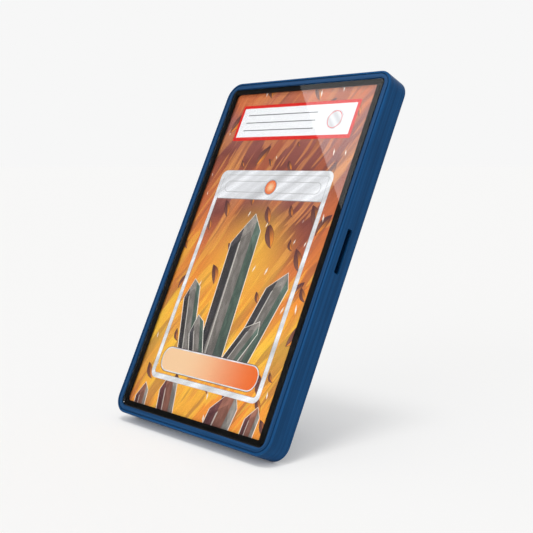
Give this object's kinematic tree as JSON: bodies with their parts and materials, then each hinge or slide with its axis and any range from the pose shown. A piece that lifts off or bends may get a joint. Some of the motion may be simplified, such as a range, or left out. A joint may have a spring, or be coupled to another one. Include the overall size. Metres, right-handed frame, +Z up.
{
  "type": "trading card display case",
  "caption": "Slim upright display case with a lift-off magnetic clear front, a removable graded card slab inside and a fold-out leg behind.",
  "frame": {"origin": "floor level, midway across the case and midway between its foremost and rearmost points as it stands", "axes": "+X towards the side with the push slot, +Y back from the front pane, +Z up from the surface that it stands on"},
  "size_m": [0.09, 0.0702, 0.1337],
  "materials": {
    "shell_blue": "satin moulded, faint texture",
    "frame_blue": "satin moulded",
    "leg_blue": "satin moulded",
    "liner_black": "matt",
    "pad_foam": "matt foam",
    "magnet": "nickel plated",
    "pane_clear": "clear, polished",
    "border_black": "gloss print",
    "tape_black": "matt",
    "slab_clear": "clear, polished",
    "art_print": null,
    "card_print": null,
    "label_print": "coated print",
    "core_white": "smooth white board",
    "foot_rubber": "matt",
    "pin_steel": "ground",
    "keeper_steel": "stamped",
    "screw_steel": "plated"
  },
  "bodies": {
    "case": {"rear_shell": "shell_blue", "inner_liner": "liner_black", "back_pad": "pad_foam", "shell_magnets": "magnet", "hinge_pin": "pin_steel", "pin_keepers": "keeper_steel", "keeper_screws": "screw_steel"},
    "front": {"front_frame": "frame_blue", "window_pane": "pane_clear", "window_border": "border_black", "pane_tape": "tape_black", "frame_magnets": "magnet"},
    "slab": {"slab_front": "slab_clear", "slab_rear": "slab_clear", "art_board": "art_print", "trading_card": "card_print", "grade_label": "label_print", "core_board": "core_white"},
    "leg": {"kickstand_leg": "leg_blue", "leg_foot": "foot_rubber"}
  },
  "joints": [
    {"name": "front_lift", "type": "slide", "parent": "case", "child": "front", "axis": [0, -0.9026, 0.4305], "range_m": [0, 0.04]},
    {"name": "slab_lift", "type": "slide", "parent": "case", "child": "slab", "axis": [0, -0.9026, 0.4305], "range_m": [0, 0.02]},
    {"name": "leg_fold", "type": "hinge", "parent": "case", "child": "leg", "pos_m": [0, -0.0044, 0.04891], "axis": [1, 0, 0], "range_deg": [-41.5, 0]}
  ],
  "couplings": [
    {"joint": "slab_lift", "follows": "front_lift", "ratio": 0.5}
  ]
}
